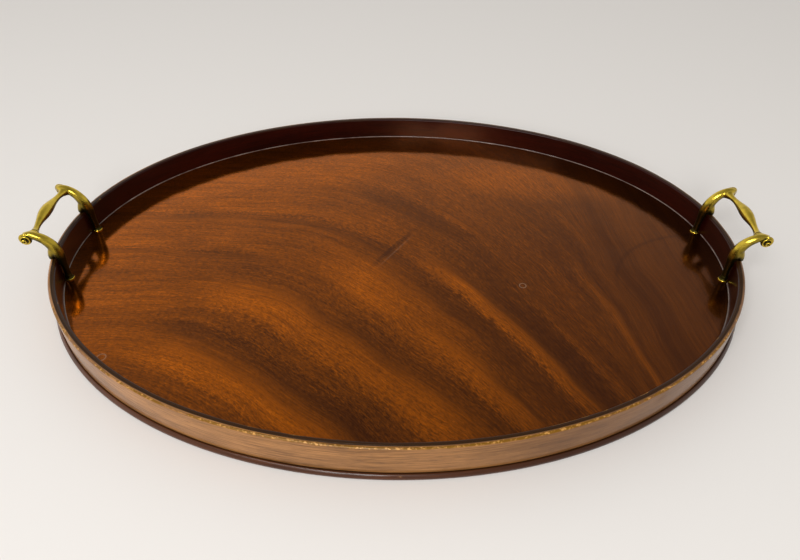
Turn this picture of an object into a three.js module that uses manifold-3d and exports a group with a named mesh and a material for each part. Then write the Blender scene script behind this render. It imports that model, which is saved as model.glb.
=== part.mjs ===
// Oval serving tray: a veneered floor inside a tall bent-wood gallery, with two cast handles.
// Millimetres. +X runs along the handles, +Y across the tray, +Z up, and z = 0 is the table top.
import * as THREE from 'three';
import { mergeVertices } from 'three/addons/utils/BufferGeometryUtils.js';
import Module from 'manifold-3d';

const wasm = await Module();
wasm.setup();

// The oval, measured to the outside of the rim.
const HALF_LENGTH = 305;
const HALF_WIDTH = 228.6;
const OVAL_STEPS = 96;

// The gallery is two strips bent round the oval and glued face to face. Each strip is made in two
// lengths, and the joints of the inner strip are clear of those of the outer one.
const RIM_HEIGHT = 32.4;
const PLY = 2.9;
const GLUE_LINE = 0.1;
const GALLERY = 2 * PLY + GLUE_LINE;
const RIM_ROUNDING = 1.4;
const OUTER_PLY_JOINT_ANGLE = 0;
const INNER_PLY_JOINT_ANGLE = THREE.MathUtils.degToRad(30);

// Half the angle left open at each butt joint of a strip.
const JOINT_GAP = 0.0006;

// The floor is a board with a face veneer above and a counter-veneer below, held clear of the table.
const BOARD = 6;
const VENEER = 0.8;
const UNDERSIDE_Z = 2.6;
const BOARD_Z = UNDERSIDE_Z + VENEER;
const FACE_VENEER_Z = BOARD_Z + BOARD;
const FLOOR_Z = FACE_VENEER_Z + VENEER;

// A half-round bead runs round the outside of the base, in two lengths as well.
const BEAD_HEIGHT = 5;
const BEAD_REACH = 3.2;
const BEAD_QUIRK = 0.7;
const BEAD_ARC_STEPS = 5;
const BEAD_JOINT_ANGLE = THREE.MathUtils.degToRad(75);

// Clearance left round everything that is cut to fit its neighbour, and a reach that takes a
// cutter well past the piece it cuts.
const FIT_GAP = 0.3;
const CUTTER_REACH = 30;

// Scroll arm. Each station of its centre line is [x, y, z] and the two half sizes of the oval
// section there: in the arm's own upright plane, then across it.
const ARM_STATIONS = [
  { at: [292.0, 36.0, 7.0], deep: 3.9, wide: 3.9 },
  { at: [292.0, 35.9, 11.0], deep: 3.6, wide: 3.6 },
  { at: [292.0, 35.6, 14.5], deep: 2.9, wide: 2.9 },
  { at: [292.0, 35.2, 24.0], deep: 3.1, wide: 3.0 },
  { at: [292.6, 34.7, 33.0], deep: 4.3, wide: 3.7 },
  { at: [294.2, 34.5, 39.5], deep: 5.4, wide: 4.2 },
  { at: [296.0, 34.5, 45.6], deep: 5.0, wide: 4.2 },
  { at: [299.6, 34.8, 51.2], deep: 4.4, wide: 4.1 },
  { at: [305.0, 35.6, 55.2], deep: 3.9, wide: 3.9 },
  { at: [311.6, 36.8, 57.0], deep: 3.5, wide: 3.5 },
];
const ARM_STEPS = 26;
const ARM_SIDES = 12;

// Lip of the arm that laps over the outer face of the rim.
const LIP_STATIONS = [
  { at: [295.4, 34.5, 43.0], deep: 4.6, wide: 4.0 },
  { at: [297.8, 34.5, 37.0], deep: 4.3, wide: 3.9 },
  { at: [299.8, 34.5, 31.0], deep: 3.3, wide: 3.3 },
];
const LIP_STEPS = 4;

// Snail scroll at the arm's end, turned about an axis along Y: [radius, y] from its inner face out.
const SCROLL_CENTRE = { x: 313.6, z: 55.2 };
const SCROLL_PROFILE = [[0, 34.0], [3.2, 34.4], [4.7, 35.6], [5.4, 37.6], [5.4, 39.6],
  [4.2, 41.2], [2.0, 42.6], [0, 43.6]];
const SCROLL_SIDES = 16;

// Baluster grip: half of its profile from the middle out, as [distance along Y, radius].
const GRIP_PROFILE = [[0, 4.95], [4.5, 4.75], [9, 4.1], [13.5, 3.35], [18, 2.75], [22.5, 2.4],
  [26, 2.3], [28.5, 2.5], [30.5, 3.0]];
const GRIP_END = { x: 308.4, y: 30.5, z: 55.8 };
const GRIP_BOW = { x: 2.8, z: 1.2 };
const GRIP_SIDES = 14;
const SPIGOT_RADIUS = 1.5;
const SPIGOT_LENGTH = 4;
const SOCKET_DEPTH = 4.6;

// Collar on the arm's inner side that the end of the grip butts against: [radius, y].
const COLLAR_PROFILE = [[0, 30.5], [3.0, 30.5], [4.4, 34.2], [0, 36.0]];

// One screw comes up through the floor into the leg of each arm.
const SCREW_AT = { x: 291.4, y: 35.8 };
const SHANK_RADIUS = 1.5;
const SCREW_HOLE_RADIUS = SHANK_RADIUS + FIT_GAP;
const SCREW_REACH_Z = 20;
const HEAD_RADIUS = 3.0;
const HEAD_HEIGHT = 1.6;
const SLOT_WIDTH = 0.8;
const SLOT_DEPTH = 0.7;
const WASHER_RADIUS = 3.6;
const WASHER_THICKNESS = 0.7;
const TURNED_SIDES = 16;

const materials = {
  figured: { color: 0x7a3b16, roughness: 0.18, metalness: 0 },
  plain: { color: 0x4a2412, roughness: 0.45, metalness: 0 },
  gallery: { color: 0x2c100a, roughness: 0.2, metalness: 0 },
  bead: { color: 0x6b3a20, roughness: 0.25, metalness: 0 },
  brass: { color: 0xb08a2a, roughness: 0.28, metalness: 1 },
  screw: { color: 0x8d7436, roughness: 0.4, metalness: 1 },
};

const tray = new THREE.Group();

function addPart(name, geometry, finish) {
  const mesh = new THREE.Mesh(geometry, new THREE.MeshStandardMaterial(materials[finish]));
  mesh.name = name;
  tray.add(mesh);
  return mesh;
}

// A point at the given angle of the oval, moved outward along its normal.
function ovalPoint(angle, outward, z) {
  const normal = new THREE.Vector2(Math.cos(angle) / HALF_LENGTH, Math.sin(angle) / HALF_WIDTH);
  normal.normalize();
  const x = HALF_LENGTH * Math.cos(angle) + outward * normal.x;
  const y = HALF_WIDTH * Math.sin(angle) + outward * normal.y;
  return new THREE.Vector3(x, y, z);
}

function signedVolume(points, index) {
  let volume = 0;
  for (let i = 0; i < index.length; i += 3) {
    const [a, b, c] = [points[index[i]], points[index[i + 1]], points[index[i + 2]]];
    volume += a.dot(new THREE.Vector3().crossVectors(b, c));
  }
  return volume / 6;
}

// Skins a row of sections that have the same number of points. A ring joins up with its start;
// anything else gets flat ends.
function skin(sections, isRing = false) {
  const count = sections[0].length;
  const spans = isRing ? sections.length : sections.length - 1;
  const index = [];
  for (let i = 0; i < spans; i++) {
    const here = i * count;
    const there = ((i + 1) % sections.length) * count;
    for (let j = 0; j < count; j++) {
      const next = (j + 1) % count;
      index.push(here + j, here + next, there + next);
      index.push(here + j, there + next, there + j);
    }
  }
  if (!isRing) {
    const last = spans * count;
    for (let j = 1; j < count - 1; j++) {
      index.push(0, j + 1, j);
      index.push(last, last + j, last + j + 1);
    }
  }
  const points = sections.flat();
  if (signedVolume(points, index) < 0) index.reverse();
  const geometry = new THREE.BufferGeometry().setFromPoints(points);
  geometry.setIndex(index);
  return geometry;
}

// A strip that follows the oval from one angle to another, or all the way round.
// Its profile lists [outward, z] corners.
function ovalStrip(profile, start = 0, end = 2 * Math.PI) {
  const isRing = end - start >= 2 * Math.PI;
  const steps = Math.round((OVAL_STEPS * (end - start)) / (2 * Math.PI));
  const sections = [];
  for (let i = 0; i < (isRing ? steps : steps + 1); i++) {
    const angle = start + ((end - start) * i) / steps;
    sections.push(profile.map(([outward, z]) => ovalPoint(angle, outward, z)));
  }
  return skin(sections, isRing);
}

// A flat oval sheet that fills the gallery, pierced for the four screws.
function ovalSheet(thickness, z) {
  const outline = [];
  for (let i = 0; i < OVAL_STEPS; i++) {
    const point = ovalPoint((2 * Math.PI * i) / OVAL_STEPS, -GALLERY - GLUE_LINE, 0);
    outline.push(new THREE.Vector2(point.x, point.y));
  }
  const shape = new THREE.Shape(outline);
  for (const [sideX, sideY] of [[-1, -1], [1, -1], [1, 1], [-1, 1]]) {
    const hole = new THREE.Path();
    hole.absarc(sideX * SCREW_AT.x, sideY * SCREW_AT.y, SCREW_HOLE_RADIUS, 0, 2 * Math.PI);
    shape.holes.push(hole);
  }
  const settings = { depth: thickness, bevelEnabled: false, curveSegments: TURNED_SIDES / 2 };
  return new THREE.ExtrudeGeometry(shape, settings).translate(0, 0, z);
}

// A round piece turned about a line along +Z through the origin, from [radius, z] corners.
function turned(profile, sides = TURNED_SIDES) {
  const corners = profile.map(([radius, z]) => new THREE.Vector2(radius, z));
  return new THREE.LatheGeometry(corners, sides).rotateX(Math.PI / 2);
}

// The same, about a line along +Y, from [radius, y] corners.
function turnedAcross(profile, sides = TURNED_SIDES) {
  const corners = profile.map(([radius, y]) => new THREE.Vector2(radius, y));
  return new THREE.LatheGeometry(corners, sides);
}

function toSolid(geometry) {
  const bare = geometry.clone();
  bare.deleteAttribute('normal');
  bare.deleteAttribute('uv');
  const welded = mergeVertices(bare, 1e-4);
  const mesh = new wasm.Mesh({
    numProp: 3,
    vertProperties: new Float32Array(welded.attributes.position.array),
    triVerts: new Uint32Array(welded.index.array),
  });
  return new wasm.Manifold(mesh);
}

function toGeometry(solid) {
  const mesh = solid.getMesh();
  const geometry = new THREE.BufferGeometry();
  geometry.setAttribute('position', new THREE.BufferAttribute(mesh.vertProperties, 3));
  geometry.setIndex(new THREE.BufferAttribute(mesh.triVerts, 1));
  return geometry;
}

// A bar of changing oval section along a smooth line through its stations.
function taperedBar(stations, steps) {
  const line = new THREE.CatmullRomCurve3(stations.map(({ at }) => new THREE.Vector3(...at)));
  const sizes = new THREE.CatmullRomCurve3(
    stations.map(({ deep, wide }) => new THREE.Vector3(deep, wide, 0)));
  const sections = [];
  for (let i = 0; i <= steps; i++) {
    const centre = line.getPoint(i / steps);
    const size = sizes.getPoint(i / steps);
    const along = line.getTangent(i / steps);
    const upright = new THREE.Vector3(-along.z, 0, along.x).normalize();
    const across = new THREE.Vector3().crossVectors(along, upright);
    const section = [];
    for (let j = 0; j < ARM_SIDES; j++) {
      const angle = (2 * Math.PI * j) / ARM_SIDES;
      section.push(centre.clone()
        .addScaledVector(upright, size.x * Math.cos(angle))
        .addScaledVector(across, size.y * Math.sin(angle)));
    }
    sections.push(section);
  }
  return skin(sections);
}

// Mirrors a piece made for the right rear into the other quarters of the tray.
function inQuarter(geometry, sideX, sideY) {
  const copy = geometry.clone().scale(sideX, sideY, 1);
  if (sideX * sideY < 0) copy.index.array.reverse();
  return copy;
}

function addFloor() {
  addPart('back_veneer', ovalSheet(VENEER, UNDERSIDE_Z), 'plain');
  addPart('core_panel', ovalSheet(BOARD, BOARD_Z), 'plain');
  addPart('floor_veneer', ovalSheet(VENEER, FACE_VENEER_Z), 'figured');
}

// One bent strip: square below, with a rounded corner on the exposed side of its top.
function gallerySection(exposedFace, gluedFace) {
  const inward = Math.sign(gluedFace - exposedFace);
  const round = [0, 0.5, 1].map((part) => {
    const angle = (part * Math.PI) / 2;
    const outward = exposedFace + inward * RIM_ROUNDING * (1 - Math.cos(angle));
    return [outward, RIM_HEIGHT - RIM_ROUNDING * (1 - Math.sin(angle))];
  });
  return [[exposedFace, 0], ...round, [gluedFace, RIM_HEIGHT], [gluedFace, 0]];
}

// A strip in two lengths that meet at butt joints, at the given angle and straight across from it.
function addTwoLengths(name, profile, jointAngle, finish) {
  for (const [end, start] of [['rear', jointAngle], ['front', jointAngle + Math.PI]]) {
    const length = ovalStrip(profile, start + JOINT_GAP, start + Math.PI - JOINT_GAP);
    addPart(`${name}_${end}`, length, finish);
  }
}

function addGallery() {
  const outer = gallerySection(0, -PLY);
  const inner = gallerySection(-GALLERY, -PLY - GLUE_LINE);
  addTwoLengths('gallery_outer_ply', outer, OUTER_PLY_JOINT_ANGLE, 'gallery');
  addTwoLengths('gallery_inner_ply', inner, INNER_PLY_JOINT_ANGLE, 'gallery');
}

function beadSection() {
  const radius = BEAD_HEIGHT / 2;
  const nose = [];
  for (let i = 0; i <= BEAD_ARC_STEPS; i++) {
    const angle = -Math.PI / 2 + (Math.PI * i) / BEAD_ARC_STEPS;
    nose.push([BEAD_REACH - radius + radius * Math.cos(angle), radius + radius * Math.sin(angle)]);
  }
  return [[GLUE_LINE, 0], ...nose, [GLUE_LINE, BEAD_HEIGHT - BEAD_QUIRK]];
}

function addBead() {
  addTwoLengths('base_bead', beadSection(), BEAD_JOINT_ANGLE, 'bead');
}

// Everything that an arm is cut clear of: the rim, the floor, the grip's spigot and the screw.
function armClearance() {
  const [outerFace, innerFace, top] = [FIT_GAP, -GALLERY - FIT_GAP, RIM_HEIGHT + FIT_GAP];
  const rim = ovalStrip([[outerFace, 0], [outerFace, top], [innerFace, top], [innerFace, 0]]);
  const floor = new THREE.BoxGeometry(CUTTER_REACH, CUTTER_REACH, FLOOR_Z);
  floor.translate(SCREW_AT.x, SCREW_AT.y, FLOOR_Z / 2);
  const screwTop = SCREW_REACH_Z + FIT_GAP;
  const screw = turned([[0, 0], [SCREW_HOLE_RADIUS, 0], [SCREW_HOLE_RADIUS, screwTop], [0, screwTop]]);
  screw.translate(SCREW_AT.x, SCREW_AT.y, 0);
  const socketRadius = SPIGOT_RADIUS + FIT_GAP;
  const [mouthY, bottomY] = [GRIP_END.y + FIT_GAP, GRIP_END.y + SOCKET_DEPTH];
  const socket = turnedAcross([[0, 0], [CUTTER_REACH, 0], [CUTTER_REACH, mouthY],
    [socketRadius, mouthY], [socketRadius, bottomY], [0, bottomY]]);
  socket.translate(GRIP_END.x, 0, GRIP_END.z);
  return [rim, floor, screw, socket].map(toSolid);
}

function armGeometry() {
  const lip = taperedBar(LIP_STATIONS, LIP_STEPS);
  const scroll = turnedAcross(SCROLL_PROFILE, SCROLL_SIDES);
  scroll.translate(SCROLL_CENTRE.x, 0, SCROLL_CENTRE.z);
  const collar = turnedAcross(COLLAR_PROFILE, GRIP_SIDES);
  collar.translate(GRIP_END.x, 0, GRIP_END.z);
  let arm = toSolid(taperedBar(ARM_STATIONS, ARM_STEPS));
  for (const extra of [lip, scroll, collar]) arm = arm.add(toSolid(extra));
  for (const cutter of armClearance()) arm = arm.subtract(cutter);
  return toGeometry(arm);
}

function gripGeometry() {
  const spigot = [[GRIP_END.y, SPIGOT_RADIUS], [GRIP_END.y + SPIGOT_LENGTH, SPIGOT_RADIUS]];
  const half = [...GRIP_PROFILE, ...spigot];
  const mirrored = half.slice(1).reverse().map(([y, radius]) => [-y, radius]);
  const sections = [...mirrored, ...half].map(([y, radius]) => {
    const bow = Math.max(0, 1 - (y / GRIP_END.y) ** 2);
    const section = [];
    for (let j = 0; j < GRIP_SIDES; j++) {
      const angle = (2 * Math.PI * j) / GRIP_SIDES;
      section.push(new THREE.Vector3(GRIP_END.x + GRIP_BOW.x * bow + radius * Math.cos(angle), y,
        GRIP_END.z + GRIP_BOW.z * bow + radius * Math.sin(angle)));
    }
    return section;
  });
  return skin(sections);
}

function screwGeometry() {
  const underHead = UNDERSIDE_Z - WASHER_THICKNESS;
  const headBottom = underHead - HEAD_HEIGHT;
  const body = turned([[0, headBottom], [HEAD_RADIUS * 0.7, headBottom + HEAD_HEIGHT / 8],
    [HEAD_RADIUS, headBottom + HEAD_HEIGHT / 2], [HEAD_RADIUS, underHead], [SHANK_RADIUS, underHead],
    [SHANK_RADIUS, SCREW_REACH_Z - SHANK_RADIUS], [0, SCREW_REACH_Z]]);
  const slot = new THREE.BoxGeometry(4 * HEAD_RADIUS, SLOT_WIDTH, 2 * SLOT_DEPTH);
  slot.translate(0, 0, headBottom);
  return toGeometry(toSolid(body).subtract(toSolid(slot)));
}

function washerGeometry() {
  const bottom = UNDERSIDE_Z - WASHER_THICKNESS;
  return turned([[SCREW_HOLE_RADIUS, bottom], [WASHER_RADIUS, bottom], [WASHER_RADIUS, UNDERSIDE_Z],
    [SCREW_HOLE_RADIUS, UNDERSIDE_Z], [SCREW_HOLE_RADIUS, bottom]]);
}

function addHandles() {
  const arm = armGeometry();
  const grip = gripGeometry();
  const screw = screwGeometry();
  const washer = washerGeometry();
  for (const [side, sideX] of [['left', -1], ['right', 1]]) {
    addPart(`grip_${side}`, inQuarter(grip, sideX, 1), 'brass');
    for (const [end, sideY] of [['front', -1], ['rear', 1]]) {
      addPart(`arm_${side}_${end}`, inQuarter(arm, sideX, sideY), 'brass');
      const fasteners = [
        addPart(`handle_screw_${side}_${end}`, screw.clone(), 'screw'),
        addPart(`screw_washer_${side}_${end}`, washer.clone(), 'screw'),
      ];
      for (const fastener of fasteners) {
        fastener.position.set(sideX * SCREW_AT.x, sideY * SCREW_AT.y, 0);
      }
    }
  }
}

addFloor();
addGallery();
addBead();
addHandles();

export default tray;
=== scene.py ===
import math

import bmesh
import bpy
import numpy as np
from mathutils import Matrix, Vector, noise


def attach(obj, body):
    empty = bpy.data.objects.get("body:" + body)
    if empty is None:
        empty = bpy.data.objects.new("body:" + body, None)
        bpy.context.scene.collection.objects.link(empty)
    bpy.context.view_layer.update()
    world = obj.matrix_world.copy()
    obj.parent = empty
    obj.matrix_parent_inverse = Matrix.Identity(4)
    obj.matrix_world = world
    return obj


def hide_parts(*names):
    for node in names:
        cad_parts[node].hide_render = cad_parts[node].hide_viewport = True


# An oval gallery tray: a figured mahogany floor inside a rim of two bent strips, a small moulding
# round the base, and a cast-brass handle at each end. Lengths are in millimetres, unless a comment
# says that they are in metres.

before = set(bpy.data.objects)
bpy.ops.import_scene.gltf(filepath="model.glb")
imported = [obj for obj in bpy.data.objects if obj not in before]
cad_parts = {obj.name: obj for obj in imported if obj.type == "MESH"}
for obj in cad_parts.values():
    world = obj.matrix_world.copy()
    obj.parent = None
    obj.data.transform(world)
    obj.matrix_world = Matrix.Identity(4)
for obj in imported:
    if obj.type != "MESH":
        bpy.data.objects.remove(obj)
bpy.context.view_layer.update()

MM = 0.001

# The oval, measured to the outside of the rim, as in the CAD source.
HALF_LENGTH = 305.0
HALF_WIDTH = 228.6

# The rim is two strips glued face to face. Each is in two lengths, which meet at its joint angle
# in degrees and opposite it, with a gap there whose half is in radians round the oval.
RIM_HEIGHT = 32.4
PLY = 2.9
GLUE_LINE = 0.1
GALLERY = 2 * PLY + GLUE_LINE
RIM_ROUNDING = 1.4
FLOOR_Z = 10.2
UNDERSIDE_Z = 2.6
PLY_JOINT_ANGLES = {"outer": 0.0, "inner": 30.0}
JOINT_HALF_GAP = 0.0002

# The moulding's section, as [distance out from the strip, z], from its foot up to its quirk.
BEAD_HEIGHT = 5.0
BEAD_PROFILE = [(0.10, 0.0), (1.90, 0.0), (2.70, 0.35), (3.05, 1.1), (3.07, 2.0), (3.05, 2.7),
                (2.92, 3.05), (2.35, 3.8), (1.75, 4.6), (1.40, 4.88), (0.80, 5.0), (0.30, 4.8),
                (0.10, 4.3)]
BEAD_JOINT_ANGLE = 75.0

# The fillet in the corner round the floor. A foot interrupts it between these angles in degrees.
FILLET = 0.7
FILLET_STEPS = 5
FOOT_ENDS = (8.0, 10.7)

# How finely shapes are divided: steps round the whole oval, steps on a rounded corner of the rim,
# and sides of a round piece.
OVAL_STEPS = 480
ROUND_STEPS = 7
ROUND_SIDES = 48


# ---------------------------------------------------------------- meshes

def mesh_object(name, verts, faces, attributes=None):
    """A mesh from points in millimetres. Attributes are named lists of one number a point."""
    mesh = bpy.data.meshes.new(name)
    mesh.from_pydata([(x * MM, y * MM, z * MM) for x, y, z in verts], [], faces)
    for key, values in (attributes or {}).items():
        layer = mesh.attributes.new(key, "FLOAT", "POINT")
        layer.data.foreach_set("value", np.array(values, np.float32))
    mesh.validate()
    mesh.update()
    shade(mesh)
    piece = bpy.data.objects.new(name, mesh)
    bpy.context.scene.collection.objects.link(piece)
    return piece


def shade(mesh, sharp_degrees=38):
    mesh.polygons.foreach_set("use_smooth", [True] * len(mesh.polygons))
    mesh.set_sharp_from_angle(angle=math.radians(sharp_degrees))


def bake_modifiers(piece):
    """Leaves the piece with the mesh that its modifiers make, and no modifiers."""
    graph = bpy.context.evaluated_depsgraph_get()
    made = bpy.data.meshes.new_from_object(piece.evaluated_get(graph))
    piece.modifiers.clear()
    piece.data = made


def discard(*pieces):
    for piece in pieces:
        bpy.data.objects.remove(piece)


def oval_point(angle, outward, z):
    """A point at that angle of the oval, moved outward along its normal."""
    normal = Vector((math.cos(angle) / HALF_LENGTH, math.sin(angle) / HALF_WIDTH)).normalized()
    x = HALF_LENGTH * math.cos(angle) + outward * normal.x
    y = HALF_WIDTH * math.sin(angle) + outward * normal.y
    return (x, y, z)


def skin_faces(rows, count, is_ring):
    """Quads between rows of points that have the same count, with flat ends unless it is a ring."""
    faces = []
    for i in range(rows if is_ring else rows - 1):
        here = i * count
        there = ((i + 1) % rows) * count
        for j in range(count):
            k = (j + 1) % count
            faces.append((here + j, there + j, there + k, here + k))
    if not is_ring:
        last = (rows - 1) * count
        faces.append(tuple(range(count)))
        faces.append(tuple(last + j for j in reversed(range(count))))
    return faces


def oval_strip(name, section_at, start_degrees, end_degrees):
    """A strip that follows the oval between two angles. section_at(angle) lists
    [outward, z, value] round its section there: the value is wear above zero, and painted shade
    below zero."""
    start = math.radians(start_degrees)
    end = math.radians(end_degrees)
    steps = max(2, round(OVAL_STEPS * (end - start) / (2 * math.pi)))
    verts, across, wear_and_shade = [], [], []
    for i in range(steps + 1):
        angle = start + (end - start) * i / steps
        section = section_at(angle)
        travelled = 0.0
        before = section[0]
        for point in section:
            travelled += math.hypot(point[0] - before[0], point[1] - before[1])
            before = point
            verts.append(oval_point(angle, point[0], point[1]))
            across.append(travelled * MM)
            wear_and_shade.append(point[2])
    faces = skin_faces(steps + 1, len(section), False)
    return mesh_object(name, verts, faces, {"across": across, "wear_and_shade": wear_and_shade})


def ripple(angle, per_turn, seed):
    """Smooth noise from -1 to 1 that joins up with itself round the oval."""
    radius = per_turn / (2 * math.pi)
    return noise.noise(Vector((radius * math.cos(angle), radius * math.sin(angle), seed * 7.31)))


def smooth_line(stations, steps):
    """Points along a Catmull-Rom line through stations of any number of values."""
    ends = [2 * np.array(stations[0]) - np.array(stations[1])]
    ends += [np.array(s, float) for s in stations]
    ends.append(2 * np.array(stations[-1]) - np.array(stations[-2]))
    points = []
    for i in range(steps + 1):
        place = (len(stations) - 1) * i / steps
        k = min(int(place), len(stations) - 2)
        t = place - k
        a, b, c, d = ends[k:k + 4]
        points.append(0.5 * (2 * b + (c - a) * t + (2 * a - 5 * b + 4 * c - d) * t ** 2
                             + (3 * b - a - 3 * c + d) * t ** 3))
    return points


def swept_bar(name, stations, steps, sides):
    """A bar of changing oval section. A station is x, y, z, then its half sizes in the upright plane
    of the bar and across it."""
    points = smooth_line(stations, steps)
    verts = []
    for i, point in enumerate(points):
        along = points[min(i + 1, steps)][:3] - points[max(i - 1, 0)][:3]
        upright = np.array([-along[2], 0.0, along[0]])
        upright /= np.linalg.norm(upright)
        across = np.cross(along / np.linalg.norm(along), upright)
        for j in range(sides):
            angle = 2 * math.pi * j / sides
            verts.append(point[:3] + upright * point[3] * math.cos(angle)
                         + across * point[4] * math.sin(angle))
    return mesh_object(name, verts, skin_faces(steps + 1, sides, False))


def turned(name, profile, centre, axis, sides=ROUND_SIDES):
    """A round piece from [radius, place along the axis] corners. Its ends lie on the axis."""
    verts = []
    for radius, place in profile[1:-1]:
        for j in range(sides):
            angle = 2 * math.pi * j / sides
            u, v = radius * math.cos(angle), radius * math.sin(angle)
            offset = (u, v, place) if axis == "z" else (v, place, u)
            verts.append(tuple(c + o for c, o in zip(centre, offset)))
    rows = len(profile) - 2
    faces = skin_faces(rows, sides, False)[:-2]
    for place, row in ((profile[0][1], 0), (profile[-1][1], rows - 1)):
        offset = (0, 0, place) if axis == "z" else (0, place, 0)
        verts.append(tuple(c + o for c, o in zip(centre, offset)))
        ring = [row * sides + j for j in range(sides)]
        for j in range(sides):
            corners = (len(verts) - 1, ring[j], ring[(j + 1) % sides])
            faces.append(corners if row else corners[::-1])
    piece = mesh_object(name, verts, faces)
    face_outward(piece)
    return piece


def cylinder(name, radius, low, high, centre, axis, sides=ROUND_SIDES):
    profile = [(0, low), (radius, low), (radius, high), (0, high)]
    return turned(name, profile, centre, axis, sides)


def face_outward(piece):
    edit = bmesh.new()
    edit.from_mesh(piece.data)
    bmesh.ops.recalc_face_normals(edit, faces=edit.faces)
    edit.to_mesh(piece.data)
    edit.free()


def fused(name, parts, voxel):
    """One closed skin round overlapping closed parts, which are used up."""
    verts, faces = [], []
    for part in parts:
        face_outward(part)
        start = len(verts)
        verts += [tuple(v.co / MM) for v in part.data.vertices]
        faces += [tuple(start + k for k in p.vertices) for p in part.data.polygons]
    discard(*parts)
    piece = mesh_object(name, verts, faces)
    remesh = piece.modifiers.new("one_skin", "REMESH")
    remesh.mode = "VOXEL"
    remesh.voxel_size = voxel * MM
    bake_modifiers(piece)
    return piece


def soften(piece, weight_at, rounds):
    """Moves points towards their neighbours' average, by a weight that depends on the place."""
    mesh = piece.data
    places = np.zeros(len(mesh.vertices) * 3)
    mesh.vertices.foreach_get("co", places)
    places = places.reshape(-1, 3)
    edges = np.zeros(len(mesh.edges) * 2, int)
    mesh.edges.foreach_get("vertices", edges)
    a, b = edges.reshape(-1, 2).T
    weights = np.array([weight_at(p / MM) for p in places])[:, None]
    ends = np.concatenate([a, b])
    others = np.concatenate([b, a])
    degree = np.bincount(ends, minlength=len(places))[:, None]
    for _ in range(rounds):
        total = np.stack([np.bincount(ends, places[others, k], len(places)) for k in range(3)], 1)
        places += weights * (total / degree - places)
    mesh.vertices.foreach_set("co", places.ravel())
    mesh.update()


def cut(piece, *cutters):
    """Takes the cutters out of the piece, and uses them up."""
    for cutter in cutters:
        face_outward(cutter)
        boolean = piece.modifiers.new("cut", "BOOLEAN")
        boolean.operation = "DIFFERENCE"
        boolean.solver = "EXACT"
        boolean.object = cutter
        bpy.context.view_layer.update()
        bake_modifiers(piece)
    discard(*cutters)


def in_quarter(name, piece, side_x, side_y, wobble):
    """A copy mirrored into one quarter of the tray, with its own slight unevenness from casting
    and filing. wobble is its depth in millimetres."""
    mesh = piece.data.copy()
    mesh.name = name
    mirror = Matrix.Diagonal((side_x, side_y, 1, 1))
    mesh.transform(mirror)
    if side_x * side_y < 0:
        mesh.flip_normals()
    normals = [v.normal.copy() for v in mesh.vertices]
    if wobble:
        for vertex, normal in zip(mesh.vertices, normals):
            depth = noise.noise(vertex.co * 190.0) + 0.5 * noise.noise(vertex.co * 420.0)
            vertex.co += normal * (depth * wobble - wobble) * MM
    copy = bpy.data.objects.new(name, mesh)
    bpy.context.scene.collection.objects.link(copy)
    return copy


def finished(piece, material, slot, *nodes):
    """Puts the material on, hides the CAD parts that the piece stands for, and attaches it to the
    root body.
    """
    piece.data.materials.clear()
    piece.data.materials.append(material)
    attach(piece, "root")
    if nodes:
        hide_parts(*nodes)


# ---------------------------------------------------------------- materials

def new_material(name):
    material = bpy.data.materials.new(name)
    material.use_nodes = True
    return material, material.node_tree


def add(tree, kind, inputs=None, **settings):
    """A node with its settings. inputs maps a socket's name or number to a value or a socket."""
    node = tree.nodes.new("ShaderNode" + kind)
    for key, value in settings.items():
        setattr(node, key, value)
    for key, value in (inputs or {}).items():
        socket = node.inputs[key]
        if isinstance(value, bpy.types.NodeSocket):
            tree.links.new(value, socket)
        else:
            socket.default_value = value
    return node


def math_node(tree, operation, *values):
    node = add(tree, "Math", dict(enumerate(values)), operation=operation)
    return node.outputs[0]


def mapped(tree, source, scale):
    return add(tree, "Mapping", {"Vector": source, "Scale": scale}).outputs[0]


def noise_value(tree, vector, scale, detail=3.0, roughness=0.55, distortion=0.0):
    inputs = {"Vector": vector, "Scale": scale, "Detail": detail, "Roughness": roughness,
              "Distortion": distortion}
    return add(tree, "TexNoise", inputs).outputs[0]


def ramp(tree, value, stops):
    """A colour ramp. Each stop is a place and a colour or a grey level."""
    node = add(tree, "ValToRGB", {"Fac": value})
    elements = node.color_ramp.elements
    while len(elements) < len(stops):
        elements.new(1.0)
    for element, (place, colour) in zip(elements, stops):
        element.position = place
        element.color = (*colour, 1) if isinstance(colour, tuple) else (colour,) * 3 + (1,)
    return node.outputs[0]


def remapped(tree, value, low, high, to_low=0.0, to_high=1.0):
    """value taken from the range low to high onto the range to_low to to_high, and kept there."""
    inputs = {0: value, 1: low, 2: high, 3: to_low, 4: to_high}
    return add(tree, "MapRange", inputs, clamp=True).outputs[0]


def mixed(tree, factor, first, second, blend="MIX"):
    """Two colours mixed. The node has sockets of the same name for each type of data, so they are
    found by identifier."""
    node = add(tree, "Mix", data_type="RGBA", blend_type=blend)
    for socket, value in (("Factor_Float", factor), ("A_Color", first), ("B_Color", second)):
        target = next(s for s in node.inputs if s.identifier == socket)
        if isinstance(value, bpy.types.NodeSocket):
            tree.links.new(value, target)
        else:
            target.default_value = (*value, 1) if isinstance(value, tuple) else value
    return next(s for s in node.outputs if s.identifier == "Result_Color")


def bumped(tree, height, distance, strength=1.0, before=None):
    inputs = {"Height": height, "Distance": distance, "Strength": strength}
    if before is not None:
        inputs["Normal"] = before
    return add(tree, "Bump", inputs).outputs[0]


def surface(tree, inputs):
    """Sets or links the named inputs of the material's shader."""
    shader = tree.nodes["Principled BSDF"]
    for key, value in inputs.items():
        if isinstance(value, bpy.types.NodeSocket):
            tree.links.new(value, shader.inputs[key])
        else:
            shader.inputs[key].default_value = value


def object_place(tree):
    return add(tree, "TexCoord").outputs["Object"]


def split(tree, vector):
    return add(tree, "SeparateXYZ", {0: vector}).outputs


def joined(tree, x, y, z=0.0):
    return add(tree, "CombineXYZ", {0: x, 1: y, 2: z}).outputs[0]


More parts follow.
